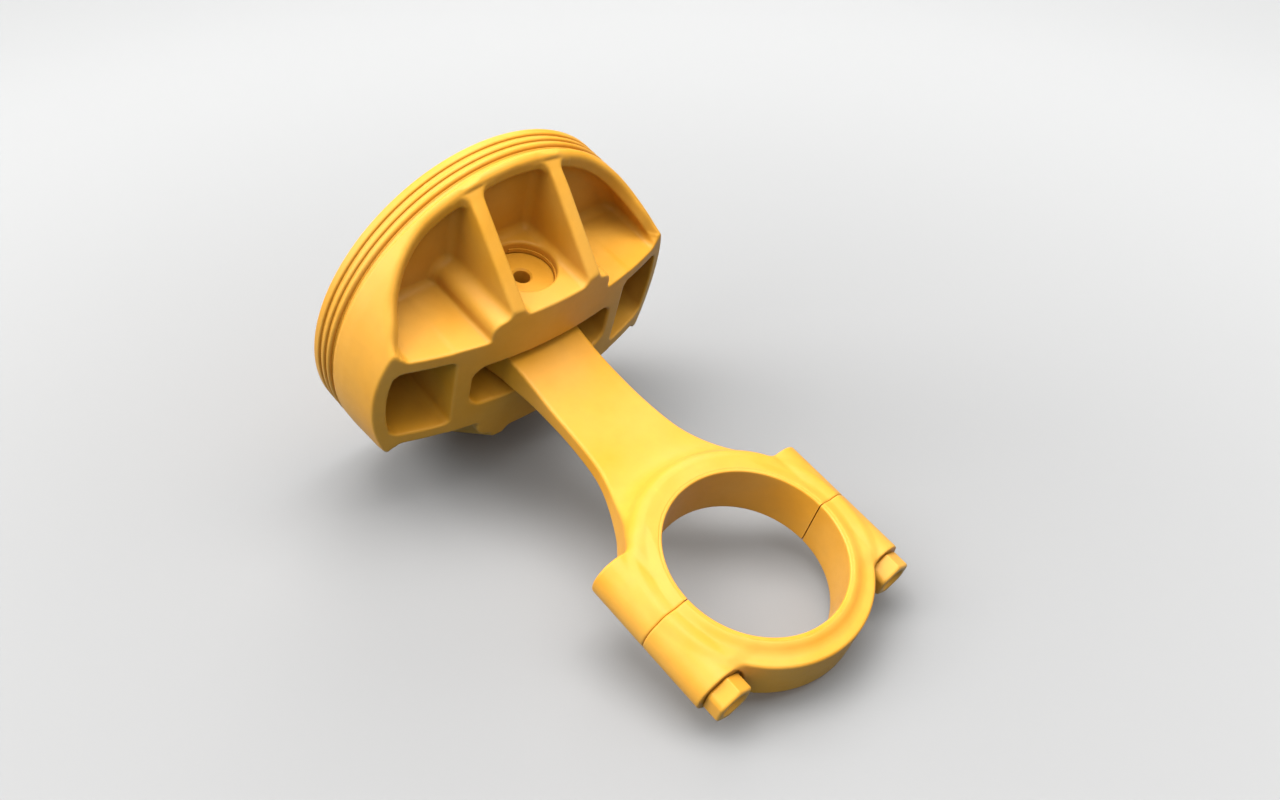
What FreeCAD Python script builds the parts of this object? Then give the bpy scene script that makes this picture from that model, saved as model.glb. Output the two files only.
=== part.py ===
import FreeCAD, Part
import math
import os

from FreeCAD import Vector as V

# Motorcycle engine piston with its connecting rod, laid out in its own frame:
#   origin  centre of the big-end (crankpin) bore
#   +X      along the crankpin and the wrist pin
#   +Z      along the rod, from the big end to the crown
#   +Y      thrust direction, across the piston's two skirts
# All lengths are in millimetres.

# ---------------------------------------------------------------- piston
BORE_R = 56.0            # cylinder bore radius the piston is made for
LAND_R = 55.75           # lands and skirt
WALL_R = 51.1            # inside of the skirt and of the lowest land
TAPER_Z = 114.0          # the skirts draw in below this height
TAPER = 0.055            # by this much radius for each millimetre down
CROWN_Z = 129.2          # flat top of the crown
CEILING_Z = 119.8        # underside of the crown
LAND_BOTTOM_Z = 116.2    # lower edge of the last full-round land
BOTTOM_Z0 = 89.3         # bottom face at y = 0
BOTTOM_K = 0.0036        # bottom face: z = BOTTOM_Z0 + BOTTOM_K * y^2
CROWN_EDGE = 0.5         # chamfer on the crown's edge

PANEL_X_OUT = 18.1       # side panels between the pin boss and the skirts
PANEL_X_IN = 13.6
BOSS_X_OUT = 25.3        # pin boss block
BOSS_X_IN = 8.2
BOSS_Y = 22.0
BOSS_ROUND = 4.0         # rounded upright corner of the boss block
CROSS_RIB_Y0 = 26.3      # cross rib between the rod slot and the outer window
CROSS_RIB_Y1 = 32.0
SLOT_ROUND = 5.0
WINDOW_ROUND = 3.2
RIB_Y = 14.0             # pair of tapering buttress ribs outside each boss
RIB_T = 4.7
RIB_TOP = (54.2, 116.9)  # (x, z) of a buttress rib's outer edge at the land
RIB_FOOT = (28.0, 90.0)  # (x, z) of its foot
SLOT_ROOF_R = 15.0       # clearance over the rod's small end
# the skirts' side faces slant in from the outside to the side panels: plan points of that corner
GUSSET = [(15.0, 45.5), (24.0, 51.4), (24.0, 54.0), (15.0, 54.0)]

# side relief arch, half width y at height z, from the bottom up
ARCH = [(51.1, 84.0), (51.1, 92.0), (50.8, 97.0), (49.6, 100.8), (47.8, 103.7),
        (44.5, 108.4), (39.6, 112.0), (34.0, 114.8), (29.5, 116.0), (25.0, LAND_BOTTOM_Z)]

# valve reliefs in the crown: x, y, radius, depth
RELIEFS = [(18.6, 19.5, 19.0, 1.8), (-18.6, 19.5, 19.0, 1.8),
           (17.2, -22.6, 16.4, 1.4), (-17.2, -22.6, 16.4, 1.4)]

# ---------------------------------------------------------------- rings
RING_R = 55.05           # outer radius of the closed compression rings
OIL_R = 54.65            # outer radius of the closed oil rails
RING1 = (125.4, 126.5)       # top compression ring, bottom and top
RING2 = (122.7, 123.8)       # second compression ring
OIL = (119.2, 121.2)         # oil ring pack
RAIL_H = 0.45
RING_CLEAR = 0.03        # side clearance in the groove, each side
RING_W = 3.2             # radial width of the compression rings
OIL_W = 1.9
EXPANDER_R = 54.55       # outside of the expander, behind the rails' edges
GROOVE_BACK = 0.4        # clearance behind a ring
RING_GAP = 0.9           # end gap, width

# ---------------------------------------------------------------- wrist pin
PIN_Z = 106.0            # rod centre distance
PIN_R = 10.0
PIN_HALF = 21.3
PIN_HOLE_R = 2.6
PIN_CHAMFER = 0.5
BOSS_BORE_R = 10.03
CLIP_GROOVE_R = 11.0
CLIP_X0 = 21.5
CLIP_T = 1.2
CLIP_R_OUT = 10.9
CLIP_R_IN = 9.7

# ---------------------------------------------------------------- rod
BEARING_R = 26.3         # crankpin bearing surface
SHELL_T = 1.2            # bearing shell thickness
HOUSING_R = BEARING_R + SHELL_T
SHELL_HALF = 8.9         # half length of a shell
THRUST_R = 29.6          # raised thrust ring around the bore
THRUST_X = 8.95
RING_X = 7.2             # the eye outside the thrust ring
EYE_R = 34.3             # outside of the big end
BOLT_Y = 32.3
BOLT_BOSS_R = 7.5
BOSS_TOP = 20.8
BOSS_SEAT = -21.4
SPOT_R = 6.9             # spot face under a bolt head
BOLT_R = 3.5
HOLE_R = 3.58
BOLT_TIP = 15.6
TAP_END = 16.8
HEAD_AF = 11.4           # across flats
HEAD_H = 5.8
DISH_R = 4.0
DISH_DEPTH = 1.5
DOWEL_R = 4.1
DOWEL_IN = 3.62
DOWEL_HALF = 2.5
SMALL_EYE_R = 13.8
SMALL_X = 5.55
BUSH_R = 11.2
BUSH_IN = 10.035
# beam outline: half width y at height z
BEAM = [(27.5, 20.4), (26.3, 23.5), (23.2, 28.2), (20.4, 33.6), (17.6, 40.0), (15.5, 46.5),
        (14.45, 53.5), (13.8, 62.0), (13.5, 70.8), (13.2, 81.0), (13.4, 90.8), (14.0, 103.0)]
# beam thickness: half thickness x at height z
BLADE = [(3.3, 26.0), (2.95, 38.0), (2.7, 48.0), (2.65, 58.0), (2.75, 67.0), (3.5, 77.0),
         (4.75, 86.5), (5.4, 92.5), (5.55, 97.0)]
# ramp from the blade to the thrust ring: half thickness x at radius r from the bore axis
RAMP = [(8.95, 30.6), (8.3, 33.0), (6.6, 35.2), (4.9, 37.6), (3.6, 40.8), (2.7, 45.0), (2.2, 51.0)]

X = V(1, 0, 0)
Y = V(0, 1, 0)
Z = V(0, 0, 1)


def cyl(r, a, b, axis=X, at=V(0, 0, 0)):
    """Cylinder of radius r between distances a and b along axis, whose line passes through at."""
    return Part.makeCylinder(r, b - a, at + axis * a, axis)


def tube(r_out, r_in, a, b, axis=X, at=V(0, 0, 0)):
    return cyl(r_out, a, b, axis, at).cut(cyl(r_in, a - 1, b + 1, axis, at))


def box(x0, x1, y0, y1, z0, z1):
    return Part.makeBox(x1 - x0, y1 - y0, z1 - z0, V(x0, y0, z0))


def prism(points, direction):
    """Straight prism on a closed polygon."""
    wire = Part.makePolygon(points + [points[0]])
    return Part.Face(wire).extrude(direction)


def spline_edge(points):
    c = Part.BSplineCurve()
    c.interpolate(points)
    return c.toShape()


def closed_prism(curves, direction):
    """Prism on a closed chain of splines and straight lines, each given as its points."""
    edges = []
    for pts in curves:
        edges.append(spline_edge(pts) if len(pts) > 2 else Part.makeLine(pts[0], pts[1]))
    return Part.Face(Part.Wire(Part.__sortEdges__(edges))).extrude(direction)


def fuse(*shapes):
    s = shapes[0].fuse(list(shapes[1:]))
    return s.removeSplitter()


def mirror_y(s):
    return s.mirror(V(0, 0, 0), Y)


def mirror_x(s):
    return s.mirror(V(0, 0, 0), X)


def upright_edges(shape, x=None, y=None, tol=0.05):
    """Straight edges parallel to Z at |x| and |y|."""
    found = []
    for e in shape.Edges:
        if e.Curve.TypeId != "Part::GeomLine":
            continue
        a, b = e.Vertexes[0].Point, e.Vertexes[-1].Point
        if abs(a.x - b.x) > 1e-4 or abs(a.y - b.y) > 1e-4:
            continue
        if x is not None and abs(abs(a.x) - x) > tol:
            continue
        if y is not None and abs(abs(a.y) - y) > tol:
            continue
        found.append(e)
    return found


def rounded_box(x0, x1, y0, y1, z0, z1, r):
    b = box(x0, x1, y0, y1, z0, z1)
    return b.makeFillet(r, upright_edges(b))


def save(name, shape):
    shape.exportStep(os.path.join("parts", name + ".step"))


# ---------------------------------------------------------------- piston body
def bottom_cut():
    """Everything below the curved bottom face."""
    pts = []
    n = 24
    for i in range(n + 1):
        y = -60.0 + 120.0 * i / n
        pts.append(V(-60, y, BOTTOM_Z0 + BOTTOM_K * y * y))
    low = [V(-60, 60, 60), V(-60, -60, 60)]
    return closed_prism([pts, [pts[-1], low[0]], [low[0], low[1]], [low[1], pts[0]]], V(120, 0, 0))


def arch_prism():
    """Side relief: the space between the skirts, below the last land, along the whole of X."""
    right = [V(-60, y, z) for (y, z) in ARCH]
    left = [V(-60, -y, z) for (y, z) in ARCH]
    return closed_prism([right, [right[-1], left[-1]], left, [left[0], right[0]]], V(120, 0, 0))


def envelope():
    """Outside of the piston: the lands' cylinder, and below it the skirts' slight taper."""
    low = LAND_R - (TAPER_Z - 80.0) * TAPER
    cone = Part.makeCone(low, LAND_R, TAPER_Z - 80.0, V(0, 0, 80.0), Z)
    return cone.fuse(cyl(LAND_R, TAPER_Z, CROWN_Z + 5, Z))


def piston_body():
    outside = envelope()
    crown = cyl(LAND_R, CEILING_Z - 0.01, CROWN_Z, Z)
    crown = crown.makeChamfer(CROWN_EDGE, [e for e in crown.Edges
                                           if e.Curve.TypeId == "Part::GeomCircle"
                                           and abs(e.Vertexes[0].Point.z - CROWN_Z) < 1e-3])
    wall = outside.common(tube(LAND_R + 5, WALL_R, 84.0, CEILING_Z, Z)).cut(arch_prism())

    # inner structure, as upright plates from the ceiling down
    z0, z1 = 84.0, CEILING_Z + 1.0
    parts = []
    for s in (1, -1):
        panel = box(min(s * PANEL_X_IN, s * PANEL_X_OUT), max(s * PANEL_X_IN, s * PANEL_X_OUT),
                    -54.0, 54.0, z0, z1)
        parts.append(panel)
        a, b = sorted((s * BOSS_X_IN, s * BOSS_X_OUT))
        block = box(a, b, -BOSS_Y, BOSS_Y, z0, z1)
        corner = [e for e in upright_edges(block, x=BOSS_X_OUT)]
        parts.append(block.makeFillet(BOSS_ROUND, corner))
    for s in (1, -1):
        a, b = sorted((s * (BOSS_Y - 4), s * CROSS_RIB_Y1))
        parts.append(box(-PANEL_X_OUT + 1, PANEL_X_OUT - 1, a, b, z0, z1))
    # slanted corners between the side panels and the skirts
    for sx in (1, -1):
        for sy in (1, -1):
            parts.append(prism([V(sx * x, sy * y, z0) for (x, y) in GUSSET], V(0, 0, z1 - z0)))
    inner = fuse(*parts)

    # outer windows get rounded corners, and the rod slot rounded ends
    for s in (1, -1):
        a, b = sorted((s * CROSS_RIB_Y1, s * 60.0))
        win = rounded_box(-PANEL_X_IN, PANEL_X_IN, a, b, z0 - 1, CEILING_Z, WINDOW_ROUND)
        inner = inner.cut(win)
    slot = rounded_box(-BOSS_X_IN, BOSS_X_IN, -CROSS_RIB_Y0, CROSS_RIB_Y0, z0 - 1, CEILING_Z, SLOT_ROUND)
    inner = inner.cut(slot)

    # buttress ribs outside the bosses
    ribs = []
    for sx in (1, -1):
        for sy in (1, -1):
            y0 = sy * RIB_Y - RIB_T / 2
            pts = [V(sx * 14.0, y0, z1 - 0.5), V(sx * 53.6, y0, z1 - 0.5), V(sx * RIB_TOP[0], y0, RIB_TOP[1]),
                   V(sx * RIB_FOOT[0], y0, RIB_FOOT[1]), V(sx * RIB_FOOT[0], y0, z0), V(sx * 14.0, y0, z0)]
            ribs.append(prism(pts, V(0, RIB_T, 0)))
    inner = inner.common(cyl(LAND_R - 2.4, 80, CEILING_Z + 2, Z))
    # the plates stop inside the skirts, and inside the relief they stay clear of the land's edge
    ribs = [r.common(cyl(LAND_R, 80, CEILING_Z + 2, Z)) for r in ribs]
    body = fuse(crown, wall, inner, *ribs)
    body = body.common(outside)
    body = body.cut(bottom_cut())

    # roof of the rod slot, hollowed around the wrist pin axis for the rod's eye
    roof = cyl(SLOT_ROOF_R, -BOSS_X_IN, BOSS_X_IN, X, V(0, 0, PIN_Z))
    body = body.cut(roof)
    # wrist pin bore, clip grooves and mouth chamfers
    at = V(0, 0, PIN_Z)
    body = body.cut(cyl(BOSS_BORE_R, -60, 60, X, at))
    for s in (1, -1):
        a, b = sorted((s * CLIP_X0, s * (CLIP_X0 + CLIP_T + 0.06)))
        body = body.cut(cyl(CLIP_GROOVE_R, a, b, X, at))
        cone = Part.makeCone(BOSS_BORE_R, BOSS_BORE_R + 1.2, 1.2, V(s * (BOSS_X_OUT - 1.0), 0, PIN_Z), V(s, 0, 0))
        body = body.cut(cone)
    # ring grooves
    for (lo, hi), r, w in ((RING1, RING_R, RING_W), (RING2, RING_R, RING_W), (OIL, OIL_R, OIL_W)):
        g = tube(LAND_R + 2, r - w - GROOVE_BACK, lo - RING_CLEAR, hi + RING_CLEAR, Z)
        body = body.cut(g)
    # valve reliefs
    for (x, y, r, d) in RELIEFS:
        body = body.cut(cyl(r, CROWN_Z - d, CROWN_Z + 2, Z, V(x, y, 0)))
    return body.removeSplitter()


def ring(radius, lo, hi, width, gap_deg, gap=RING_GAP):
    r = tube(radius, radius - width, lo, hi, Z)
    slit = box(radius - width - 2, radius + 2, -gap / 2, gap / 2, lo - 1, hi + 1)
    slit.rotate(V(0, 0, 0), Z, gap_deg)
    return r.cut(slit)


def oil_expander():
    """Spacer between the two oil rails: a gapped hoop, notched from the inside."""
    lo, hi = OIL[0] + RAIL_H + 0.02, OIL[1] - RAIL_H - 0.02
    inner = OIL_R - OIL_W
    r = ring(EXPANDER_R, lo, hi, EXPANDER_R - inner, 180)
    mid = 0.5 * (lo + hi)
    slots = []
    n = 36
    for i in range(n):
        a = 360.0 * i / n + 5.0
        s = box(inner - 1, inner + 0.9, -1.5, 1.5, mid - 0.22, mid + 0.22)
        s.rotate(V(0, 0, 0), Z, a)
        slots.append(s)
    return r.cut(Part.makeCompound(slots))


def wrist_pin():
    at = V(0, 0, PIN_Z)
    p = cyl(PIN_R, -PIN_HALF, PIN_HALF, X, at)
    ends = [e for e in p.Edges if e.Curve.TypeId == "Part::GeomCircle"]
    p = p.makeChamfer(PIN_CHAMFER, ends)
    p = p.cut(cyl(PIN_HOLE_R, -40, 40, X, at))
    for s in (1, -1):
        c = Part.makeCone(PIN_HOLE_R, PIN_HOLE_R + 0.7, 0.7, V(s * (PIN_HALF - 0.6), 0, PIN_Z), V(s, 0, 0))
        p = p.cut(c)
    return p


def circlip(side):
    """Flat snap ring in the boss, open at the top, with two eyes."""
    at = V(0, 0, PIN_Z)
    a, b = sorted((side * (CLIP_X0 + 0.03), side * (CLIP_X0 + 0.03 + CLIP_T)))
    c = tube(CLIP_R_OUT, CLIP_R_IN, a, b, X, at)
    c = c.cut(box(min(a, b) - 1, max(a, b) + 1, -2.2, 2.2, PIN_Z + 4, PIN_Z + 14))
    return c


# ---------------------------------------------------------------- connecting rod
def beam():
    right = [V(-12, y, z) for (y, z) in BEAM]
    left = [V(-12, -y, z) for (y, z) in BEAM]
    outline = closed_prism([right, [right[-1], left[-1]], left, [left[0], right[0]]], V(24, 0, 0))
    outline = outline.fuse(cyl(SMALL_EYE_R, -12, 12, X, V(0, 0, PIN_Z)))

    front = [V(x, -40, z) for (x, z) in BLADE]
    back = [V(-x, -40, z) for (x, z) in BLADE]
    top_f, top_b = V(SMALL_X, -40, 122), V(-SMALL_X, -40, 122)
    blade = closed_prism([front, [front[-1], top_f], [top_f, top_b], [top_b, back[-1]], back,
                          [back[0], front[0]]], V(0, 80, 0))

    # ramp between the blade and the thrust ring, turned about the bore axis
    f = [V(x, 0, r) for (x, r) in RAMP]
    b = [V(-x, 0, r) for (x, r) in RAMP]
    tip0, tip1 = V(0, 0, RAMP[-1][1] + 3.0), None
    edges = [spline_edge(f), Part.makeLine(f[-1], tip0), Part.makeLine(tip0, b[-1]), spline_edge(b),
             Part.makeLine(b[0], V(-RAMP[0][0], 0, 20)), Part.makeLine(V(-RAMP[0][0], 0, 20), V(RAMP[0][0], 0, 20)),
             Part.makeLine(V(RAMP[0][0], 0, 20), f[0])]
    face = Part.Face(Part.Wire(Part.__sortEdges__(edges)))
    ramp = face.revolve(V(0, 0, 0), X, 360)
    thick = blade.fuse(ramp)
    return outline.common(thick)


def big_end_ring():
    eye = cyl(EYE_R, -RING_X, RING_X)
    circles = [e for e in eye.Edges if e.Curve.TypeId == "Part::GeomCircle"]
    eye = eye.makeFillet(0.9, circles)
    thrust = cyl(THRUST_R, -THRUST_X, THRUST_X)
    s = eye.fuse(thrust)
    # sloping flank of the thrust face
    rise = THRUST_X - RING_X + 0.3
    for side in (1, -1):
        flank = Part.makeCone(THRUST_R + rise, THRUST_R, rise, V(side * (THRUST_X - rise), 0, 0), V(side, 0, 0))
        s = s.fuse(flank)
    for sy in (1, -1):
        boss = cyl(BOLT_BOSS_R, BOSS_SEAT, BOSS_TOP, Z, V(0, sy * BOLT_Y, 0))
        web = box(-BOLT_BOSS_R + 0.6, BOLT_BOSS_R - 0.6, min(sy * 20, sy * BOLT_Y), max(sy * 20, sy * BOLT_Y),
                  BOSS_SEAT + 1.2, BOSS_TOP)
        s = s.fuse(boss).fuse(web.common(cyl(40.0, -12, 12)))
    return s


def holes(r, z0, z1):
    return Part.makeCompound([cyl(r, z0, z1, Z, V(0, sy * BOLT_Y, 0)) for sy in (1, -1)])


def connecting_rod():
    big = big_end_ring().common(box(-20, 20, -60, 60, 0, 60))
    rod = big.fuse(beam()).removeSplitter()
    rod = rod.cut(cyl(HOUSING_R, -20, 20))
    rod = rod.cut(cyl(BUSH_R, -20, 20, X, V(0, 0, PIN_Z)))
    rod = rod.cut(holes(HOLE_R, -1, TAP_END))
    rod = rod.cut(holes(DOWEL_R, -1, DOWEL_HALF + 0.2))
    return rod.removeSplitter()


def rod_cap():
    cap = big_end_ring().common(box(-20, 20, -60, 60, -60, 0))
    cap = cap.cut(cyl(HOUSING_R, -20, 20))
    cap = cap.cut(holes(HOLE_R, -40, 1))
    cap = cap.cut(holes(SPOT_R, -40, BOSS_SEAT))
    cap = cap.cut(holes(DOWEL_R, -DOWEL_HALF - 0.2, 1))
    return cap.removeSplitter()


def shell(upper):
    s = tube(HOUSING_R, BEARING_R, -SHELL_HALF, SHELL_HALF)
    half = box(-20, 20, -60, 60, 0, 60) if upper else box(-20, 20, -60, 60, -60, 0)
    return s.common(half)


def bolt(sy):
    at = V(0, sy * BOLT_Y, 0)
    rc = HEAD_AF / math.sqrt(3)
    pts = []
    for k in range(6):
        a = math.radians(60 * k)
        pts.append(V(rc * math.cos(a), sy * BOLT_Y + rc * math.sin(a), BOSS_SEAT - HEAD_H))
    head = prism(pts, V(0, 0, HEAD_H))
    # conical chamfer of the corners at the outer end
    cone = Part.makeCone(rc - 0.75, rc + 3.0, 3.75 * 0.6, at + Z * (BOSS_SEAT - HEAD_H), Z)
    keep = cone.fuse(cyl(rc + 3.0, BOSS_SEAT - HEAD_H + 2.2, BOSS_SEAT + 1, Z, at))
    head = head.common(keep)
    dish = Part.makeCone(DISH_R, DISH_R - 0.8, DISH_DEPTH, at + Z * (BOSS_SEAT - HEAD_H), Z)
    head = head.cut(dish)
    shank = cyl(BOLT_R, BOSS_SEAT - 0.5, BOLT_TIP, Z, at)
    tip = [e for e in shank.Edges if e.Curve.TypeId == "Part::GeomCircle" and e.Vertexes[0].Point.z > 10]
    shank = shank.makeChamfer(0.5, tip)
    return head.fuse(shank).removeSplitter()


def dowel(sy):
    return tube(DOWEL_R, DOWEL_IN, -DOWEL_HALF, DOWEL_HALF, Z, V(0, sy * BOLT_Y, 0))


def small_end_bush():
    return tube(BUSH_R, BUSH_IN, -SMALL_X, SMALL_X, X, V(0, 0, PIN_Z))


def build():
    os.makedirs("parts", exist_ok=True)
    rail = RAIL_H
    nodes = {
        "piston_body": piston_body(),
        "top_compression_ring": ring(RING_R, RING1[0], RING1[1], RING_W, 90),
        "second_compression_ring": ring(RING_R, RING2[0], RING2[1], RING_W, 210),
        "oil_ring_upper_rail": ring(OIL_R, OIL[1] - rail, OIL[1], OIL_W, 150),
        "oil_ring_expander": oil_expander(),
        "oil_ring_lower_rail": ring(OIL_R, OIL[0], OIL[0] + rail, OIL_W, 120),
        "wrist_pin": wrist_pin(),
        "circlip_front": circlip(1),
        "circlip_rear": circlip(-1),
        "connecting_rod": connecting_rod(),
        "small_end_bush": small_end_bush(),
        "rod_cap": rod_cap(),
        "bearing_shell_upper": shell(True),
        "bearing_shell_lower": shell(False),
        "rod_bolt_right": bolt(1),
        "rod_bolt_left": bolt(-1),
        "cap_dowel_right": dowel(1),
        "cap_dowel_left": dowel(-1),
    }
    for name, shape in nodes.items():
        if not shape.isValid() or len(shape.Solids) != 1:
            print("check", name, "valid", shape.isValid(), "solids", len(shape.Solids))
        save(name, shape)
        bb = shape.BoundBox
        print(name, "vol", round(shape.Volume / 1000, 3), "cm3", [round(v, 2) for v in
              (bb.XMin, bb.XMax, bb.YMin, bb.YMax, bb.ZMin, bb.ZMax)])


build()
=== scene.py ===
import math

import bmesh
import bpy
import numpy as np
from mathutils import Matrix, Vector


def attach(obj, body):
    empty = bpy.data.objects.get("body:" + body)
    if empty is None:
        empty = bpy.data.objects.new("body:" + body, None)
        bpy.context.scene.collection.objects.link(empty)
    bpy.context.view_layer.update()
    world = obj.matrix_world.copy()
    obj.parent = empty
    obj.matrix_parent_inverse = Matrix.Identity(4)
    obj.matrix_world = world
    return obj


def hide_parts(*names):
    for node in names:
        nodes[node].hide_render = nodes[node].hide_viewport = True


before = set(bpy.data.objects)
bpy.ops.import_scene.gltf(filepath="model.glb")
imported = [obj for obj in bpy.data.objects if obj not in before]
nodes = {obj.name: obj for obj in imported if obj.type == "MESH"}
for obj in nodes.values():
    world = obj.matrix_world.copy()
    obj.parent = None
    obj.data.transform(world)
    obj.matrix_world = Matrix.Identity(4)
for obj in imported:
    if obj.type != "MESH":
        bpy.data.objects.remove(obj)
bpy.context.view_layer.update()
scene = bpy.context.scene
MM = 0.001


# ------------------------------------------------------------------ distance-field modelling
# Each rebuilt piece is a signed distance field in millimetres (negative inside), so that every outside edge and
# every inside corner carries a true rolled radius. The field is turned into quads and each corner is then moved
# on to the field's zero level.

def runion(a, b, r):
    """Union with an inside corner of radius r."""
    u = np.maximum(r - a, 0.0)
    v = np.maximum(r - b, 0.0)
    return np.maximum(r, np.minimum(a, b)) - np.sqrt(u * u + v * v)


def rinter(a, b, r):
    """Intersection with an outside edge of radius r."""
    u = np.maximum(r + a, 0.0)
    v = np.maximum(r + b, 0.0)
    return np.minimum(-r, np.maximum(a, b)) + np.sqrt(u * u + v * v)


def rsub(a, b, r):
    return rinter(a, -b, r)


def rbox2(u, v, hu, hv, r):
    """Rectangle with half sizes hu, hv and corner radius r, in two coordinates."""
    qu = np.abs(u) - hu + r
    qv = np.abs(v) - hv + r
    return np.minimum(np.maximum(qu, qv), 0.0) + np.hypot(np.maximum(qu, 0.0), np.maximum(qv, 0.0)) - r


def smooth_curve(points, n=400):
    """Natural cubic through points given as (value, at), returned as two arrays at, value."""
    at = np.array([p[1] for p in points], float)
    val = np.array([p[0] for p in points], float)
    m = len(at)
    h = np.diff(at)
    a = np.zeros((m, m))
    b = np.zeros(m)
    a[0, 0] = a[-1, -1] = 1.0
    for i in range(1, m - 1):
        a[i, i - 1], a[i, i], a[i, i + 1] = h[i - 1], 2 * (h[i - 1] + h[i]), h[i]
        b[i] = 3 * ((val[i + 1] - val[i]) / h[i] - (val[i] - val[i - 1]) / h[i - 1])
    c = np.linalg.solve(a, b)
    t = np.linspace(at[0], at[-1], n)
    k = np.clip(np.searchsorted(at, t, side="right") - 1, 0, m - 2)
    d = (c[k + 1] - c[k]) / (3 * h[k])
    bb = (val[k + 1] - val[k]) / h[k] - h[k] * (2 * c[k] + c[k + 1]) / 3
    s = t - at[k]
    return t, val[k] + bb * s + c[k] * s * s + d * s ** 3


class Curve:
    """A smooth function of one coordinate and its slope, by lookup."""

    def __init__(self, points, n=600):
        self.t, self.v = smooth_curve(points, n)
        self.s = np.gradient(self.v, self.t)

    def __call__(self, x):
        return np.interp(x, self.t, self.v).astype(np.float32)

    def scale(self, x):
        s = np.interp(x, self.t, self.s)
        s = np.where((x < self.t[0]) | (x > self.t[-1]), 0.0, s)
        return (1.0 / np.sqrt(1.0 + s * s)).astype(np.float32)


class Polygon2:
    """Signed distance to a closed polygon in two coordinates, by a lookup grid."""

    def __init__(self, pts, lo, hi, step=0.25):
        p = np.array(pts, float)
        q = np.roll(p, -1, 0)
        self.lo, self.step = np.array(lo, float), step
        nu = int(round((hi[0] - lo[0]) / step)) + 1
        nv = int(round((hi[1] - lo[1]) / step)) + 1
        gu, gv = np.meshgrid(lo[0] + step * np.arange(nu), lo[1] + step * np.arange(nv), indexing="ij")
        best = np.full(gu.shape, 1e9)
        inside = np.zeros(gu.shape, bool)
        for (ax_, ay_), (bx_, by_) in zip(p, q):
            ex, ey = bx_ - ax_, by_ - ay_
            l2 = ex * ex + ey * ey
            if l2 < 1e-12:
                continue
            t = np.clip(((gu - ax_) * ex + (gv - ay_) * ey) / l2, 0, 1)
            best = np.minimum(best, (gu - ax_ - t * ex) ** 2 + (gv - ay_ - t * ey) ** 2)
            if ay_ != by_:
                cross = ((ay_ > gv) != (by_ > gv)) & (gu < (bx_ - ax_) * (gv - ay_) / (by_ - ay_) + ax_)
                inside ^= cross
        self.g = (np.sqrt(best) * np.where(inside, -1, 1)).astype(np.float32)

    def __call__(self, u, v):
        g = self.g
        fu = np.clip((u - self.lo[0]) / self.step, 0, g.shape[0] - 1.001)
        fv = np.clip((v - self.lo[1]) / self.step, 0, g.shape[1] - 1.001)
        iu, iv = fu.astype(np.int32), fv.astype(np.int32)
        tu, tv = (fu - iu).astype(np.float32), (fv - iv).astype(np.float32)
        return ((g[iu, iv] * (1 - tu) + g[iu + 1, iv] * tu) * (1 - tv)
                + (g[iu, iv + 1] * (1 - tu) + g[iu + 1, iv + 1] * tu) * tv)


CORNERS = [(i, j, k) for i in (0, 1) for j in (0, 1) for k in (0, 1)]
EDGES = [(a, b) for a in CORNERS for b in CORNERS if a < b and sum(abs(p - q) for p, q in zip(a, b)) == 1]


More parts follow.
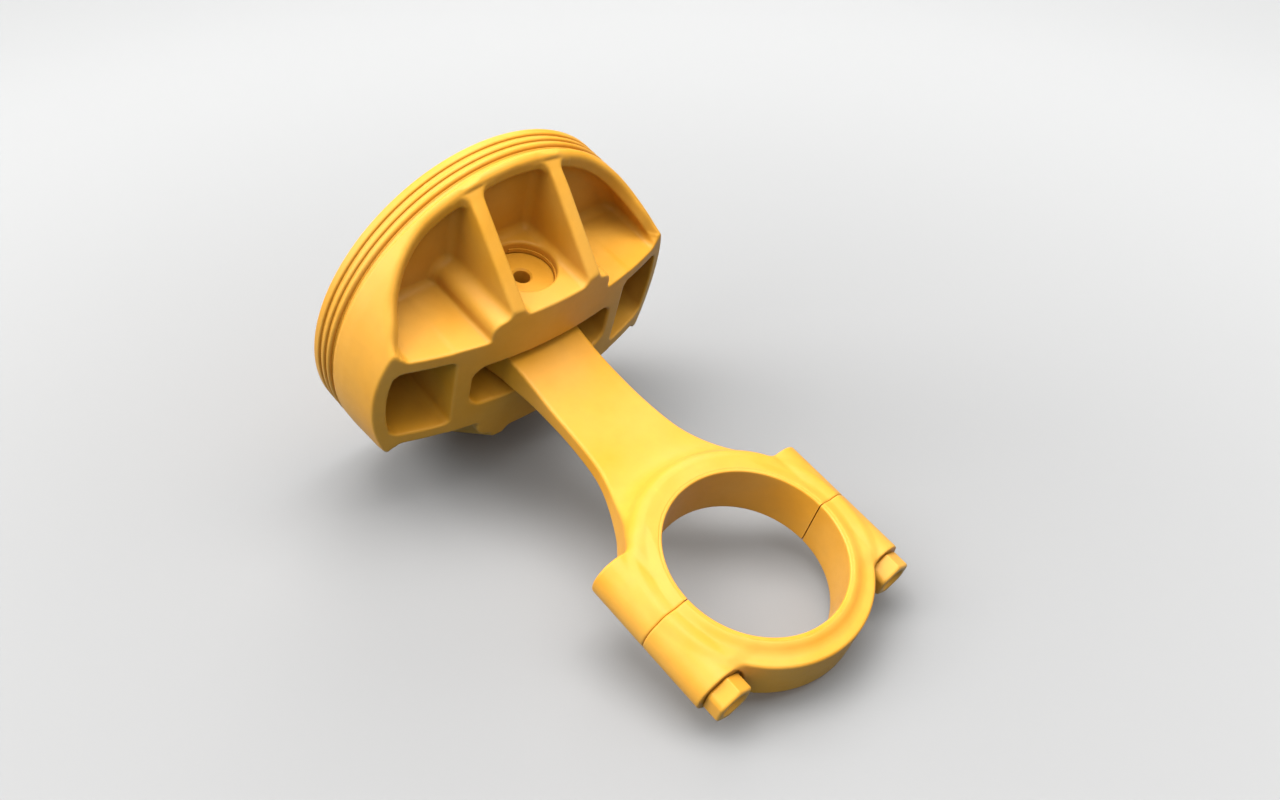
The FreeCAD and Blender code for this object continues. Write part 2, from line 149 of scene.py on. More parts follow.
def field_mesh(name, f, lo, hi, h, passes=3):
    """Mesh of f's zero level inside the box lo..hi, with cells of h millimetres. f takes three arrays."""
    n = [int(math.ceil((hi[i] - lo[i]) / h)) + 1 for i in range(3)]
    axes = [np.float32(lo[i]) + np.float32(h) * np.arange(n[i], dtype=np.float32) for i in range(3)]
    vals = np.empty(n, np.float32)
    step = max(1, int(1.2e6 / (n[1] * n[2])))
    yy, zz = np.meshgrid(axes[1], axes[2], indexing="ij")
    for i0 in range(0, n[0], step):
        i1 = min(n[0], i0 + step)
        x = np.repeat(axes[0][i0:i1], n[1] * n[2])
        y = np.tile(yy.ravel(), i1 - i0)
        z = np.tile(zz.ravel(), i1 - i0)
        vals[i0:i1] = f(x, y, z).reshape(i1 - i0, n[1], n[2])
    s = vals < 0
    count = np.zeros([m - 1 for m in n], np.uint8)
    for (i, j, k) in CORNERS:
        count += s[i:n[0] - 1 + i, j:n[1] - 1 + j, k:n[2] - 1 + k]
    active = (count > 0) & (count < 8)
    cells = np.argwhere(active).astype(np.int32)
    index = np.full(active.shape, -1, np.int32)
    index[active] = np.arange(len(cells), dtype=np.int32)
    total = np.zeros((len(cells), 3), np.float32)
    hits = np.zeros(len(cells), np.float32)
    for a, b in EDGES:
        pa, pb = cells + np.array(a), cells + np.array(b)
        va = vals[pa[:, 0], pa[:, 1], pa[:, 2]]
        vb = vals[pb[:, 0], pb[:, 1], pb[:, 2]]
        cut = (va < 0) != (vb < 0)
        t = np.where(cut, va / np.where(cut, va - vb, 1.0), 0.0)[:, None]
        total += np.where(cut[:, None], np.array(a) + t * (np.array(b) - np.array(a)), 0.0)
        hits += cut
    v = np.array(lo) + h * (cells + total / hits[:, None])
    quads = []
    for d in range(3):
        e = [slice(None)] * 3
        e2 = [slice(None)] * 3
        e[d], e2[d] = slice(0, n[d] - 1), slice(1, n[d])
        change = s[tuple(e)] != s[tuple(e2)]
        p = np.argwhere(change)
        a1, a2 = (d + 1) % 3, (d + 2) % 3
        keep = (p[:, a1] > 0) & (p[:, a2] > 0) & (p[:, a1] < n[a1] - 1) & (p[:, a2] < n[a2] - 1)
        p = p[keep]
        inside_first = s[p[:, 0], p[:, 1], p[:, 2]]
        u1 = np.zeros(3, int)
        u1[a1] = 1
        u2 = np.zeros(3, int)
        u2[a2] = 1
        c = [p - u1 - u2, p - u2, p, p - u1]
        q = np.stack([index[k[:, 0], k[:, 1], k[:, 2]] for k in c], 1)
        q[~inside_first] = q[~inside_first][:, ::-1]
        quads.append(q)
    quads = np.concatenate(quads)
    v = v.astype(np.float64)
    eps = 0.02
    for _ in range(passes):
        val = f(*v.T.astype(np.float32)).astype(np.float64)
        grad = np.stack([
            f(*(v + np.eye(3)[k] * eps).T.astype(np.float32)).astype(np.float64)
            - f(*(v - np.eye(3)[k] * eps).T.astype(np.float32)).astype(np.float64)
            for k in range(3)], 1) / (2 * eps)
        g2 = np.maximum((grad ** 2).sum(1), 0.15)
        move = -grad * (val / g2)[:, None]
        length = np.sqrt((move ** 2).sum(1))
        move *= np.minimum(1.0, 0.45 * h / np.maximum(length, 1e-9))[:, None]
        v += move
    return mesh_object(name, v * MM, quads)


def mesh_object(name, v, faces, smooth=True):
    me = bpy.data.meshes.new(name)
    me.vertices.add(len(v))
    me.vertices.foreach_set("co", np.asarray(v, np.float32).ravel())
    width = faces.shape[1]
    me.loops.add(len(faces) * width)
    me.loops.foreach_set("vertex_index", np.asarray(faces, np.int32).ravel())
    me.polygons.add(len(faces))
    me.polygons.foreach_set("loop_start", np.arange(0, len(faces) * width, width, dtype=np.int32))
    me.update(calc_edges=True)
    me.validate()
    me.polygons.foreach_set("use_smooth", np.full(len(me.polygons), smooth))
    me.update()
    o = bpy.data.objects.new(name, me)
    scene.collection.objects.link(o)
    return o


# ------------------------------------------------------------------ dimensions, as the CAD part has them
LAND_R, WALL_R = 55.75, 51.1
CROWN_Z, CEILING_Z, LAND_BOTTOM_Z = 129.2, 119.8, 116.2
BOTTOM_Z0, BOTTOM_K = 89.3, 0.0036
PIN_Z = 106.0
ARCH = [(51.1, 84.0), (51.1, 92.0), (50.8, 97.0), (49.6, 100.8), (47.8, 103.7),
        (44.5, 108.4), (39.6, 112.0), (34.0, 114.8), (29.5, 116.0), (25.0, LAND_BOTTOM_Z)]
TAPER_Z, TAPER = 114.0, 0.055
BEAM = [(27.5, 20.4), (26.3, 23.5), (23.2, 28.2), (20.4, 33.6), (17.6, 40.0), (15.5, 46.5),
        (14.45, 53.5), (13.8, 62.0), (13.5, 70.8), (13.2, 81.0), (13.4, 90.8), (14.0, 103.0)]
BLADE = [(3.3, 26.0), (2.95, 38.0), (2.7, 48.0), (2.65, 58.0), (2.75, 67.0), (3.5, 77.0),
         (4.75, 86.5), (5.4, 92.5), (5.55, 97.0)]
RAMP = [(8.95, 30.6), (8.3, 33.0), (6.6, 35.2), (4.9, 37.6), (3.6, 40.8), (2.7, 45.0), (2.2, 51.0), (1.9, 57.0)]
RELIEFS = [(18.6, 19.5, 19.0, 1.8), (-18.6, 19.5, 19.0, 1.8),
           (17.2, -22.6, 16.4, 1.4), (-17.2, -22.6, 16.4, 1.4)]


def dense(points, n=14):
    """A polyline through (y, z) points, refined with a centripetal curve."""
    p = np.array(points, float)
    p = np.vstack([2 * p[0] - p[1], p, 2 * p[-1] - p[-2]])
    out = []
    for i in range(1, len(p) - 2):
        p0, p1, p2, p3 = p[i - 1:i + 3]
        t0 = 0.0
        t1 = t0 + np.linalg.norm(p1 - p0) ** 0.5
        t2 = t1 + np.linalg.norm(p2 - p1) ** 0.5
        t3 = t2 + np.linalg.norm(p3 - p2) ** 0.5
        for t in np.linspace(t1, t2, n, endpoint=False):
            a1 = (t1 - t) / (t1 - t0) * p0 + (t - t0) / (t1 - t0) * p1
            a2 = (t2 - t) / (t2 - t1) * p1 + (t - t1) / (t2 - t1) * p2
            a3 = (t3 - t) / (t3 - t2) * p2 + (t - t2) / (t3 - t2) * p3
            b1 = (t2 - t) / (t2 - t0) * a1 + (t - t0) / (t2 - t0) * a2
            b2 = (t3 - t) / (t3 - t1) * a2 + (t - t1) / (t3 - t1) * a3
            out.append((t2 - t) / (t2 - t1) * b1 + (t - t1) / (t2 - t1) * b2)
    out.append(p[-2])
    return np.array(out)


# ------------------------------------------------------------------ piston, below the ring belt
_arch = dense(ARCH)
relief = Polygon2(np.vstack([[[-8.0, 80.0], [51.1, 80.0]], _arch, [[-8.0, LAND_BOTTOM_Z]]]),
                  (-8.0, 80.0), (60.0, 124.0))


def f_piston(x, y, z):
    ax, ay = np.abs(x), np.abs(y)
    r = np.hypot(x, y)
    skirt = LAND_R - TAPER * np.maximum(TAPER_Z - z, 0.0)
    outer = np.minimum(rinter(r - skirt, z - 119.17, 0.5), np.maximum(r - 51.9, z - 120.6))
    cavity = rinter(r - WALL_R, z - CEILING_Z, 4.0)
    # the relief's side faces slant in, more so towards the skirts' lower ends
    k = np.clip((ay - 36.0) / 10.0, 0, 1)
    slant = 0.62 * np.clip(LAND_R - r, 0, 8) * k * k * (3 - 2 * k)
    shell = rinter(outer, -relief(ay + slant, z), 1.3 + 1.1 * np.clip((z - 96.0) / 12.0, 0, 1))
    shell = rinter(shell, -cavity, 0.4)
    # box structure between the skirts
    panel = np.abs(ax - 15.85) - 2.25
    boss = rbox2(ax - 16.75, ay, 8.55, 22.0, 4.2)
    cross = rbox2(x, ay - 25.3, 17.2, 6.7, 0.5)
    box = runion(runion(panel, boss, 1.3), cross, 2.2)
    box = np.maximum(box, np.maximum(r - 52.6, z - 120.6))
    slope = (ax - 54.2) * 0.7164 - (z - 116.9) * 0.6978
    slope = rinter(slope, (r - 53.35) * 0.866 - (z - 118.6) * 0.5 - 2.4, 2.0)
    rib = rinter(np.abs(ay - 14.0) - 2.35, slope, 1.4)
    rib = np.maximum(rib, np.maximum(14.0 - ax, z - 120.6))
    box = runion(box, rib, 2.6)
    # the pockets' corners are well filled, the faces round them stay flush
    keep = np.minimum(-relief(ay + slant, z), np.maximum(slope, np.abs(ay - 14.0) - 7.5))
    keep = np.minimum(keep, np.minimum(ax - 21.5, np.maximum(ax - 28.0, ay - 23.0)))
    body = rinter(runion(shell, box, 2.8), keep, 0.5)
    body = np.maximum(body, np.maximum(r - skirt, np.where(z > 119.17, outer, -1e3)))
    # curved bottom face
    bottom = (BOTTOM_Z0 + BOTTOM_K * y * y - z) / np.sqrt(1 + (2 * BOTTOM_K * y) ** 2)
    body = rinter(body, bottom, 0.6)
    # rod slot with its roof, and the wrist pin bore
    slot = rinter(rbox2(x, y, 8.2, 26.3, 5.0), z - CEILING_Z, 2.0)
    pin = np.hypot(y, z - PIN_Z)
    slot = np.minimum(slot, np.maximum(pin - 15.0, ax - 8.2))
    body = rsub(body, slot, 0.9)
    return rsub(body, pin - 10.05, 0.8)


piston = field_mesh("piston_casting", f_piston, (-57.2, -57.2, 88.2), (57.2, 57.2, 121.4), 0.5)
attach(piston, "piston")
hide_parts("piston_body")


# ------------------------------------------------------------------ piston, ring belt and crown
def arc(cx, cz, r, a0, a1, n=5):
    return [(cx + r * math.cos(math.radians(a0 + (a1 - a0) * i / n)),
             cz + r * math.sin(math.radians(a0 + (a1 - a0) * i / n))) for i in range(n + 1)]


def belt_profile():
    """(radius, height) from the inner foot of the belt out and up to the flat of the crown."""
    e = 0.55
    p = [(52.35, 119.95), (52.35, 120.6), (52.35, 121.23)]
    p += [(53.5, 121.23)]
    p += arc(LAND_R - 0.8, 121.23 + 0.8, 0.8, -90, 0)
    for lo, hi in ((122.67, 123.83), (125.37, 126.53)):
        p += [(LAND_R, 0.5 * (p[-1][1] + lo - e))]
        p += arc(LAND_R - e, lo - e, e, 0, 90)
        p += [(53.6, lo), (51.8, lo), (51.75, lo + 0.1), (51.75, hi - 0.1), (51.8, hi), (53.6, hi)]
        p += arc(LAND_R - e, hi + e, e, -90, 0)
    p += [(LAND_R, 127.4)]
    p += arc(LAND_R - 0.7, CROWN_Z - 0.7, 0.7, 0, 90, 7)
    return p


def crown_height(x, y):
    """Depth of the crown's valve reliefs below the flat, with rolled edges."""
    depth = np.zeros_like(x)
    for cx, cy, r, d in RELIEFS:
        t = np.clip((r - np.hypot(x - cx, y - cy)) / 1.1 + 0.5, 0, 1)
        depth = np.maximum(depth, d * t * t * (3 - 2 * t))
    return depth


def crown_piece():
    na = 720
    prof = belt_profile()
    radii = list(np.arange(54.8, 0.3, -0.45))
    rows = [(r, z, False) for r, z in prof] + [(r, CROWN_Z, True) for r in radii]
    a = np.linspace(0, 2 * math.pi, na, endpoint=False)
    ca, sa = np.cos(a), np.sin(a)
    v = []
    for r, z, top in rows:
        x, y = r * ca, r * sa
        zz = np.full(na, z)
        if top:
            zz = zz - crown_height(x, y)
        v.append(np.stack([x, y, zz], 1))
    v = np.concatenate(v)
    m = len(rows)
    i = np.arange(na)
    j = (i + 1) % na
    quads = [np.stack([k * na + i, k * na + j, (k + 1) * na + j, (k + 1) * na + i], 1) for k in range(m - 1)]
    quads = np.concatenate(quads)
    top = len(v)
    v = np.vstack([v, [[0, 0, CROWN_Z]], [[0, 0, prof[0][1]]]])
    fan_top = np.stack([(m - 1) * na + i, (m - 1) * na + j, np.full(na, top)], 1)
    fan_low = np.stack([j, i, np.full(na, top + 1)], 1)
    me = bpy.data.meshes.new("piston_crown")
    allf = [tuple(map(int, q)) for q in quads] + [tuple(map(int, t)) for t in fan_top] + [tuple(map(int, t)) for t in fan_low]
    me.from_pydata((v * MM).tolist(), [], allf)
    me.validate()
    me.update()
    me.polygons.foreach_set("use_smooth", np.ones(len(me.polygons), bool))
    o = bpy.data.objects.new("piston_crown", me)
    scene.collection.objects.link(o)
    return o


crown = crown_piece()
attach(crown, "piston")
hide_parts("piston_body")

# ------------------------------------------------------------------ connecting rod and cap
beam_w, blade_t, ramp_t = Curve(BEAM), Curve(BLADE), Curve([(x, r) for x, r in RAMP])


def f_big_end(x, y, z):
    ax, ay = np.abs(x), np.abs(y)
    rb = np.hypot(y, z)
    eye = rinter(rb - 34.3, ax - 7.2, 0.9)
    thrust = np.maximum(rinter(ax - 8.95, (rb + ax - 37.45) * 0.7071, 0.9), rb - 33.2)
    ring = runion(eye, thrust, 1.2)
    boss = rinter(np.hypot(x, ay - 32.3) - 7.5, np.abs(z + 0.3) - 21.1, 0.5)
    web = rinter(rbox2(x, ay - 25.0, 6.8, 6.0, 2.0), np.abs(z - 0.3) - 20.5, 2.4)
    return runion(ring, runion(boss, web, 1.2), 2.8)


def smax(a, b, k):
    """The greater of two, blended over a span of k."""
    h = np.clip(0.5 + 0.5 * (a - b) / k, 0, 1)
    return b + (a - b) * h + k * h * (1 - h)


def f_rod(x, y, z):
    ax, ay = np.abs(x), np.abs(y)
    rb = np.hypot(y, z)
    pin = np.hypot(y, z - PIN_Z)
    outline = (ay - beam_w(z)) * beam_w.scale(z)
    outline = np.maximum(outline, np.maximum(z - 104.0, 12.0 - z))
    outline = runion(outline, pin - 13.8, 5.0)
    # half thickness: the blade, rising to the thrust face round the big end and to the small end's full width
    t_ramp = np.where(rb > 57.0, 1.9 - 0.1 * (rb - 57.0), ramp_t(rb))
    half = smax(np.where(z > 97.0, 5.55, blade_t(z)), t_ramp, 1.0)
    tilt = np.minimum(np.where(rb < 51.0, ramp_t.scale(rb), 1.0), blade_t.scale(z))
    # the thrust ring comes out of the beam's face gradually
    k = np.clip((z - 13.0) / 12.0, 0, 1)
    sink = 1.0 - k * k * (3 - 2 * k)
    half = np.where(rb < 30.6, 8.95, half)
    half = half - sink * np.maximum(half - 6.9, 0)
    beam = rinter(outline, (ax - half) * np.where(rb < 30.6, 1.0, tilt), 0.9)
    big = np.maximum(f_big_end(x, y, z), -4.0 - z)
    rod = runion(big, beam, 2.6)
    rod = np.maximum(rod, ax - 8.95)
    rod = np.maximum(rod, 27.2 - rb)
    rod = rsub(rod, pin - 11.2, 0.3)
    hole = np.hypot(x, ay - 32.3)
    rod = rinter(rod, 0.03 - z, 0.45)
    return np.maximum(rod, -np.maximum(hole - 3.58, z - 16.8))


def f_cap(x, y, z):
    rb = np.hypot(y, z)
    hole = np.hypot(x, np.abs(y) - 32.3)
    cap = np.maximum(f_big_end(x, y, z), 27.2 - rb)
    cap = rinter(cap, z + 0.03, 0.45)
    cap = rsub(cap, np.maximum(hole - 6.95, z + 21.4), 0.2)
    return np.maximum(cap, 3.58 - hole)


rod = field_mesh("rod_forging", f_rod, (-9.6, -41.4, -0.8), (9.6, 41.4, 120.8), 0.42)
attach(rod, "rod")
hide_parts("connecting_rod")

cap = field_mesh("cap_forging", f_cap, (-9.6, -41.4, -34.9), (9.6, 41.4, 0.8), 0.38)
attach(cap, "rod")
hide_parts("rod_cap")


# ------------------------------------------------------------------ bearing shells
def bearing(name, upper):
    """Half shell, flush with the thrust faces, its bore edges rolled."""
    h, e = 8.93, 0.55
    prof = [(27.49, -h), (27.49, h)]
    prof += [(26.3 + e - e * math.sin(t), h - e + e * math.cos(t)) for t in np.linspace(0, math.pi / 2, 6)]
    prof += [(26.3, k) for k in np.linspace(h - e, -h + e, 14)[1:-1]]
    prof += [(26.3 + e - e * math.cos(t), -h + e - e * math.sin(t)) for t in np.linspace(0, math.pi / 2, 6)]
    a = np.linspace(0.007, math.pi - 0.007, 121) + (0 if upper else math.pi)
    n, m = len(prof), len(a)
    v = [(x, r * math.cos(t), r * math.sin(t)) for t in a for r, x in prof]
    f = [(j * n + i, j * n + (i + 1) % n, (j + 1) * n + (i + 1) % n, (j + 1) * n + i)
         for j in range(m - 1) for i in range(n)]
    f += [tuple(range(n - 1, -1, -1)), tuple((m - 1) * n + i for i in range(n))]
    me = bpy.data.meshes.new(name)
    me.from_pydata([(p[0] * MM, p[1] * MM, p[2] * MM) for p in v], [], f)
    me.update()
    bm_fix(me)
    o = bpy.data.objects.new(name, me)
    scene.collection.objects.link(o)
    return o


def bm_fix(me):
    """Outward normals and smooth shading, flat across sharp corners."""
    bm = bmesh.new()
    bm.from_mesh(me)
    bmesh.ops.recalc_face_normals(bm, faces=bm.faces)
    for fc in bm.faces:
        fc.smooth = True
    for ed in bm.edges:
        if len(ed.link_faces) == 2 and ed.calc_face_angle(0.0) > 0.7:
            ed.smooth = False
    bm.to_mesh(me)
    bm.free()
    me.update()


shell_up = bearing("shell_upper", True)
shell_low = bearing("shell_lower", False)
for o, nd in ((shell_up, "bearing_shell_upper"), (shell_low, "bearing_shell_lower")):
    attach(o, "rod")
    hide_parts(nd)


# ------------------------------------------------------------------ rod bolts
def f_bolt(x, y, z):
    """Hexagon head seated at z = -21.4, its corners rolled, with a dished end."""
    ax, ay = np.abs(x), np.abs(y)
    hexagon = rinter(ay - 5.6, ay * 0.5 + ax * 0.8660254 - 5.6, 1.1)
    rr = np.hypot(x, y)
    end = -27.2 - z
    cone = (rr - 6.0 + end) * 0.7071
    head = rinter(rinter(hexagon, np.maximum(end, z + 21.45), 0.8), cone, 0.5)
    dish = np.maximum((rr - 4.0 + (z + 27.2) * 0.6) * 0.857, np.abs(z + 27.2) - 1.5)
    head = rsub(head, dish, 0.3)
    shank = rinter(rr - 3.5, np.maximum(z - 15.6, -23.0 - z), 0.4)
    return np.minimum(head, shank)


for side, name, turn in ((1, "bolt_right", 0.0), (-1, "bolt_left", 0.0)):
    b = field_mesh(name, f_bolt, (-7.7, -7.7, -27.5), (7.7, 7.7, 16.2), 0.24)
    m = Matrix.Translation((0, side * 32.3 * MM, 0)) @ Matrix.Rotation(turn, 4, "Z")
    b.data.transform(m)
    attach(b, "rod")
    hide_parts("rod_bolt_right" if side > 0 else "rod_bolt_left")


# ------------------------------------------------------------------ materials
def mat(name):
    m = bpy.data.materials.new(name)
    m.use_nodes = True
    t = m.node_tree
    t.nodes.clear()
    return m, t


def coat(name, base, rough=0.42, seed=0.0, metallic=0.0, grain=1.0, edge=0.10):
    """Satin coating: broad and fine colour variation, orange-peel bump, rubbed edges, and painted shade that
    darkens the hollows.
    """
    m, t = mat(name)
    n, l = t.nodes, t.links
    out = n.new("ShaderNodeOutputMaterial")
    p = n.new("ShaderNodeBsdfPrincipled")
    l.new(p.outputs[0], out.inputs[0])
    geo = n.new("ShaderNodeNewGeometry")
    tc = n.new("ShaderNodeTexCoord")
    mp = n.new("ShaderNodeMapping")
    mp.inputs["Location"].default_value = (seed, seed * 1.7, -seed)
    l.new(tc.outputs["Object"], mp.inputs[0])

    def noise(scale, detail=3.0, rough_=0.5):
        k = n.new("ShaderNodeTexNoise")
        k.inputs["Scale"].default_value = scale
        k.inputs["Detail"].default_value = detail
        k.inputs["Roughness"].default_value = rough_
        l.new(mp.outputs[0], k.inputs["Vector"])
        return k

    def ramp(src, lo, hi, a, b):
        k = n.new("ShaderNodeMapRange")
        k.inputs["From Min"].default_value, k.inputs["From Max"].default_value = lo, hi
        k.inputs["To Min"].default_value, k.inputs["To Max"].default_value = a, b
        l.new(src, k.inputs["Value"])
        return k.outputs[0]

    broad, fine, micro = noise(28, 3), noise(260, 4, 0.6), noise(1500, 3, 0.55)
    # colour: a broad drift in tone, a fine mottle, lighter rubbed edges, and painted shade that darkens the
    # hollows and tints them slightly green
    hsv = n.new("ShaderNodeHueSaturation")
    hsv.inputs["Color"].default_value = (*base, 1)
    l.new(ramp(broad.outputs[0], 0.3, 0.7, 0.4965, 0.5035), hsv.inputs["Hue"])
    l.new(ramp(broad.outputs[0], 0.3, 0.7, 1.03, 0.97), hsv.inputs["Saturation"])
    l.new(ramp(fine.outputs[0], 0.3, 0.7, 0.965, 1.03), hsv.inputs["Value"])
    rub = n.new("ShaderNodeMix")
    rub.data_type = "RGBA"
    light = tuple(min(1.0, c * 1.12) for c in base)
    rub.inputs[7].default_value = (*light, 1)
    l.new(hsv.outputs[0], rub.inputs[6])
    point = ramp(geo.outputs["Pointiness"], 0.52, 0.60, 0.0, 1.0)
    wear = n.new("ShaderNodeMath")
    wear.operation = "MULTIPLY"
    l.new(point, wear.inputs[0])
    l.new(ramp(fine.outputs[0], 0.42, 0.62, 0.25, 1.0), wear.inputs[1])
    wear2 = n.new("ShaderNodeMath")
    wear2.operation = "MULTIPLY"
    wear2.inputs[1].default_value = edge * 6
    l.new(wear.outputs[0], wear2.inputs[0])
    wear2.use_clamp = True
    l.new(wear2.outputs[0], rub.inputs[0])
    # painted shade: concave places (pointiness below 0.49) are multiplied towards (0.62, 0.70, 0.60), up to
    # 35%, so the hollows read darker and slightly green
    painted_hollow_shade = n.new("ShaderNodeMix")
    painted_hollow_shade.data_type = "RGBA"
    painted_hollow_shade.blend_type = "MULTIPLY"
    painted_hollow_shade.inputs[7].default_value = (0.62, 0.70, 0.60, 1)
    l.new(rub.outputs[2], painted_hollow_shade.inputs[6])
    l.new(ramp(geo.outputs["Pointiness"], 0.49, 0.42, 0.0, 0.35), painted_hollow_shade.inputs[0])
    l.new(painted_hollow_shade.outputs[2], p.inputs["Base Color"])
    # roughness
    rr = n.new("ShaderNodeMath")
    rr.operation = "ADD"
    l.new(ramp(broad.outputs[0], 0.3, 0.7, rough - 0.035, rough + 0.035), rr.inputs[0])
    l.new(ramp(micro.outputs[0], 0.3, 0.7, -0.03, 0.03), rr.inputs[1])
    l.new(rr.outputs[0], p.inputs["Roughness"])
    p.inputs["Metallic"].default_value = metallic
    p.inputs["Specular IOR Level"].default_value = 0.17
    # bump: soft orange peel and a fine grain
    b1 = n.new("ShaderNodeBump")
    b1.inputs["Strength"].default_value = 0.10 * grain
    b1.inputs["Distance"].default_value = 0.0004
    l.new(fine.outputs[0], b1.inputs["Height"])
    b2 = n.new("ShaderNodeBump")
    b2.inputs["Strength"].default_value = 0.10 * grain
    b2.inputs["Distance"].default_value = 0.00008
    l.new(micro.outputs[0], b2.inputs["Height"])
    l.new(b1.outputs[0], b2.inputs["Normal"])
    l.new(b2.outputs[0], p.inputs["Normal"])
    return m


YELLOW = (0.48, 0.223, 0.023)
m_cast = coat("coat_casting", YELLOW, 0.44, 0.0)
m_forge = coat("coat_forging", YELLOW, 0.40, 3.1)
m_bolt = coat("coat_bolt", YELLOW, 0.36, 5.3)
m_ring = coat("coat_ring", YELLOW, 0.36, 1.3, grain=0.6)
m_pin = coat("coat_pin", YELLOW, 0.34, 2.2, grain=0.6)
m_shell = coat("coat_bearing", YELLOW, 0.34, 6.1, grain=0.5)
m_bush = coat("bush_bronze", (0.48, 0.25, 0.09), 0.34, 4.0, metallic=0.9, grain=0.5)
m_dowel = coat("dowel_steel", (0.45, 0.45, 0.46), 0.32, 8.0, metallic=1.0, grain=0.5)


def dress(o, m):
    o.data.materials.clear()
    o.data.materials.append(m)


dress(piston, m_cast)
dress(crown, m_cast)
dress(rod, m_forge)
dress(cap, m_forge)
for nm in ("bolt_right", "bolt_left"):
    dress(bpy.data.objects[nm], m_bolt)


def dress_node(node, m):
    o = nodes[node]
    if not o.material_slots:
        o.data.materials.append(m)
    for s in o.material_slots:
        s.material = m


for nd in ("top_compression_ring", "second_compression_ring", "oil_ring_upper_rail", "oil_ring_expander",
           "oil_ring_lower_rail"):
    dress_node(nd, m_ring)
for nd in ("wrist_pin", "circlip_front", "circlip_rear"):
    dress_node(nd, m_pin)
dress(shell_up, m_shell)
dress(shell_low, m_shell)
dress_node("small_end_bush", m_bush)
for nd in ("cap_dowel_right", "cap_dowel_left"):
    dress_node(nd, m_dowel)

# ------------------------------------------------------------------ floor
# The object lies on its side, resting on the last land's edge and on the big end's far face.
UP = Vector((0.9545, 0.0, 0.2983)).normalized()
FOOT = Vector((-LAND_R * MM, 0.0, LAND_BOTTOM_Z * MM))
side_v = Vector((0, 1, 0))
along_v = UP.cross(side_v).normalized()
centre = Vector((0.0, 0.0, 0.06))
centre = centre - UP * (centre - FOOT).dot(UP) - UP * 0.0006
bpy.ops.mesh.primitive_circle_add(vertices=96, radius=2.4, fill_type="NGON")
floor = bpy.context.object
floor.name = "studio_floor"
basis = Matrix((along_v, side_v, UP)).transposed().to_4x4()
if basis.determinant() < 0:
    basis = Matrix((-along_v, side_v, UP)).transposed().to_4x4()
floor.matrix_world = Matrix.Translation(centre) @ basis
PALE = (0.80, 0.80, 0.785)
GAIN = 1.59  # of every lamp
m, t = mat("floor_pale")
n, l = t.nodes, t.links
out = n.new("ShaderNodeOutputMaterial")
d = n.new("ShaderNodeBsdfPrincipled")
# the floor has two colours: the camera sees the pale ramp below, while every other ray meets a dim cool blue
# (0.06, 0.105, 0.155), so the floor bounces dim bluish light on to the object
floor_seen_and_bounce_colour = n.new("ShaderNodeMix")
floor_seen_and_bounce_colour.data_type = "RGBA"
floor_seen_and_bounce_colour.inputs[6].default_value = (0.06, 0.105, 0.155, 1)
# painted shade: the colour the camera sees darkens from 0.295 beyond 0.5 m to 0.195 within 0.05 m of the
# floor's middle, under the object, cancelling the overhead panels' pool of light
painted_floor_shade = n.new("ShaderNodeMapRange")
painted_floor_shade.interpolation_type = "SMOOTHSTEP"
painted_floor_shade.inputs["From Min"].default_value, painted_floor_shade.inputs["From Max"].default_value = 0.05, 0.50
painted_floor_shade.inputs["To Min"].default_value, painted_floor_shade.inputs["To Max"].default_value = 0.195, 0.295
l.new(painted_floor_shade.outputs[0], floor_seen_and_bounce_colour.inputs[7])
l.new(floor_seen_and_bounce_colour.outputs[2], d.inputs["Base Color"])
d.inputs["Roughness"].default_value = 0.75
d.inputs["Specular IOR Level"].default_value = 0.15
tr = n.new("ShaderNodeBsdfTransparent")
mix = n.new("ShaderNodeMixShader")
geo = n.new("ShaderNodeNewGeometry")
lp = n.new("ShaderNodeLightPath")
mul = n.new("ShaderNodeMath")
mul.operation = "MULTIPLY"
l.new(lp.outputs["Is Camera Ray"], floor_seen_and_bounce_colour.inputs[0])
l.new(geo.outputs["Backfacing"], mul.inputs[0])
l.new(lp.outputs["Is Camera Ray"], mul.inputs[1])
dist = n.new("ShaderNodeVectorMath")
dist.operation = "LENGTH"
tc = n.new("ShaderNodeTexCoord")
l.new(tc.outputs["Object"], dist.inputs[0])
fade = n.new("ShaderNodeMapRange")
fade.interpolation_type = "SMOOTHERSTEP"
fade.inputs["From Min"].default_value, fade.inputs["From Max"].default_value = 0.30, 1.3
l.new(dist.outputs["Value"], fade.inputs["Value"])
l.new(dist.outputs["Value"], painted_floor_shade.inputs["Value"])
fcam = n.new("ShaderNodeMath")
fcam.operation = "MULTIPLY"
l.new(fade.outputs[0], fcam.inputs[0])
l.new(lp.outputs["Is Camera Ray"], fcam.inputs[1])
mx = n.new("ShaderNodeMath")
mx.operation = "MAXIMUM"
l.new(mul.outputs[0], mx.inputs[0])
l.new(fcam.outputs[0], mx.inputs[1])
l.new(mx.outputs[0], mix.inputs[0])
l.new(d.outputs[0], mix.inputs[1])
l.new(tr.outputs[0], mix.inputs[2])
l.new(mix.outputs[0], out.inputs[0])
dress(floor, m)

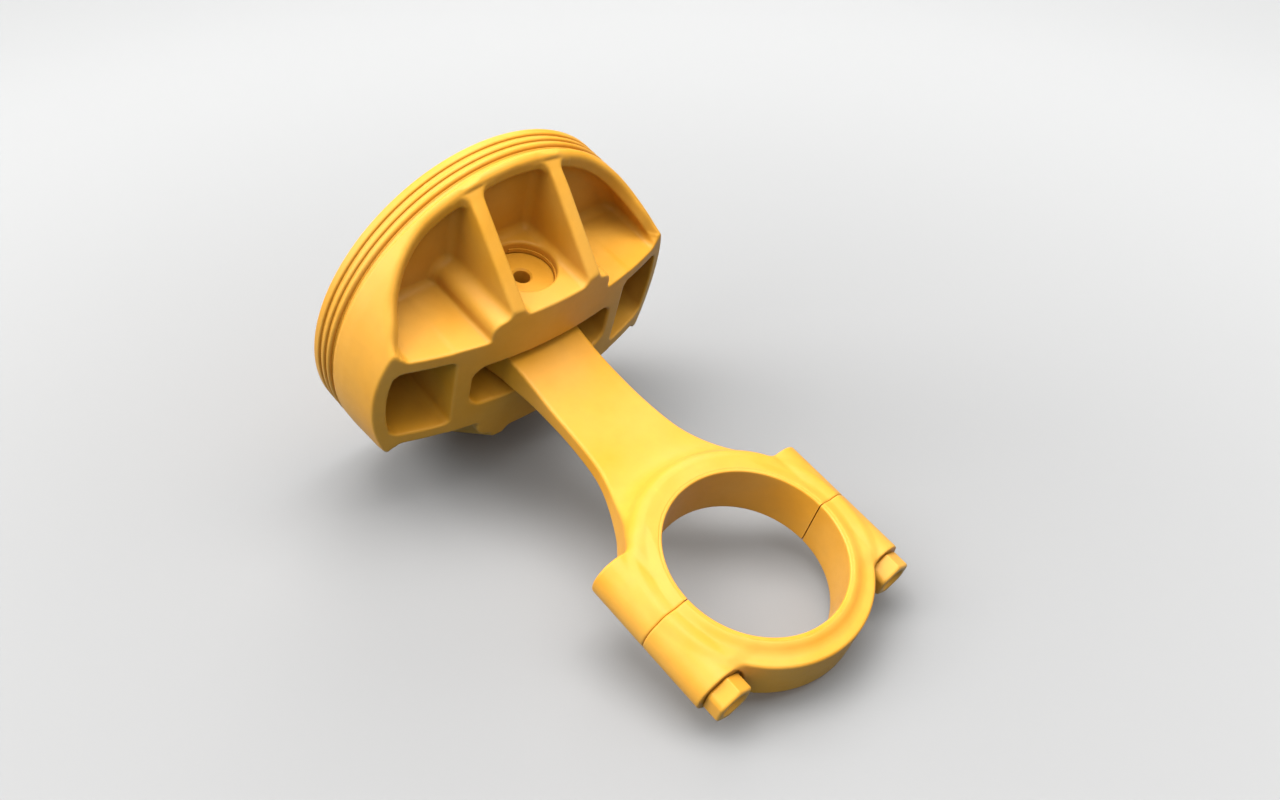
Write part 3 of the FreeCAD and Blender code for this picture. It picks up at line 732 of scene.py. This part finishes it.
# ------------------------------------------------------------------ light
# A soft dome: an even grey sky, nine wide soft lamps round it and two round panels overhead.
world = bpy.data.worlds.new("studio")
scene.world = world
world.use_nodes = True
t = world.node_tree
t.nodes.clear()
n, l = t.nodes, t.links
wo = n.new("ShaderNodeOutputWorld")
bg = n.new("ShaderNodeBackground")
bg.inputs["Color"].default_value = (0.86, 1.0, 1.08, 1)
bg.inputs["Strength"].default_value = 0.17 * GAIN
bc = n.new("ShaderNodeBackground")
bc.inputs["Color"].default_value = (*PALE, 1)
bc.inputs["Strength"].default_value = 1.0
lp = n.new("ShaderNodeLightPath")
ms = n.new("ShaderNodeMixShader")
l.new(lp.outputs["Is Camera Ray"], ms.inputs[0])
l.new(bg.outputs[0], ms.inputs[1])
l.new(bc.outputs[0], ms.inputs[2])
l.new(ms.outputs[0], wo.inputs[0])

# camera axes, in the row frame
RIGHT = Vector((0.202595, 0.727639, -0.655360))
DOWN = Vector((-0.634236, -0.412410, -0.653959))
FORWARD = Vector((-0.746123, 0.548142, 0.377943))
LEVEL_RIGHT = (RIGHT - UP * RIGHT.dot(UP)).normalized()
LEVEL_FORWARD = (FORWARD - UP * FORWARD.dot(UP)).normalized()


def lamp(name, data, place, direction):
    o = bpy.data.objects.new(name, data)
    scene.collection.objects.link(o)
    o.location = place
    o.rotation_mode = "QUATERNION"
    o.rotation_quaternion = (-direction).to_track_quat("-Z", "Y")
    return o


# elevation above the floor, turn from the camera's right towards its far side, strength
DOME = [(40, 180, 1.422), (66, 0, 0.853), (66, 180, 0.843), (40, 225, 0.794), (16, 180, 0.781),
        (40, 90, 0.772), (40, 0, 0.357), (40, 270, 0.322), (40, 315, 0.255)]
for i, (el, az, strength) in enumerate(DOME):
    e, z = math.radians(el), math.radians(az)
    d = (LEVEL_RIGHT * math.cos(z) + LEVEL_FORWARD * math.sin(z)) * math.cos(e) + UP * math.sin(e)
    data = bpy.data.lights.new("dome_%d" % i, "SUN")
    data.energy = strength * GAIN
    data.angle = math.radians(34)
    data.color = (1.0, 0.99, 0.98)
    lamp("dome_%d" % i, data, d * 2.0, d)
for name, spot, power in (("panel_piston", (0, 0, 0.12), 2.37), ("panel_rod", (0, 0, -0.03), 0.97)):
    data = bpy.data.lights.new(name, "AREA")
    data.shape = "DISK"
    data.size = 0.5
    data.energy = power * GAIN
    data.color = (1.0, 0.99, 0.98)
    lamp(name, data, Vector(spot) + UP * 0.55, UP)

# a lamp behind the object keeps its far side readable; the floor does not shade it
data = bpy.data.lights.new("far_side", "SUN")
data.energy = 2.6
data.angle = math.radians(16)
far = lamp("far_side", data, FORWARD * 2.0, FORWARD.normalized())
far.visible_glossy = False
casters = bpy.data.collections.new("far_side_casters")
casters.objects.link(floor)
casters.collection_objects[0].light_linking.link_state = "EXCLUDE"
far.light_linking.blocker_collection = casters

# ------------------------------------------------------------------ camera
cam_data = bpy.data.cameras.new("camera")
cam = bpy.data.objects.new("camera", cam_data)
scene.collection.objects.link(cam)
cam_data.sensor_fit = "HORIZONTAL"
cam_data.sensor_width = 36.0
cam_data.lens = 1221.34 / 1280.0 * 36.0
cam_data.clip_start, cam_data.clip_end = 0.01, 20.0
rot = Matrix((RIGHT, -DOWN, -FORWARD)).transposed().to_4x4()
cam.matrix_world = Matrix.Rotation(math.radians(0.25), 4, "X") @ Matrix.Translation(
    (0.27457342, -0.18733251, -0.07751556)) @ rot
scene.camera = cam

scene.view_settings.view_transform = "Standard"
scene.view_settings.look = "None"
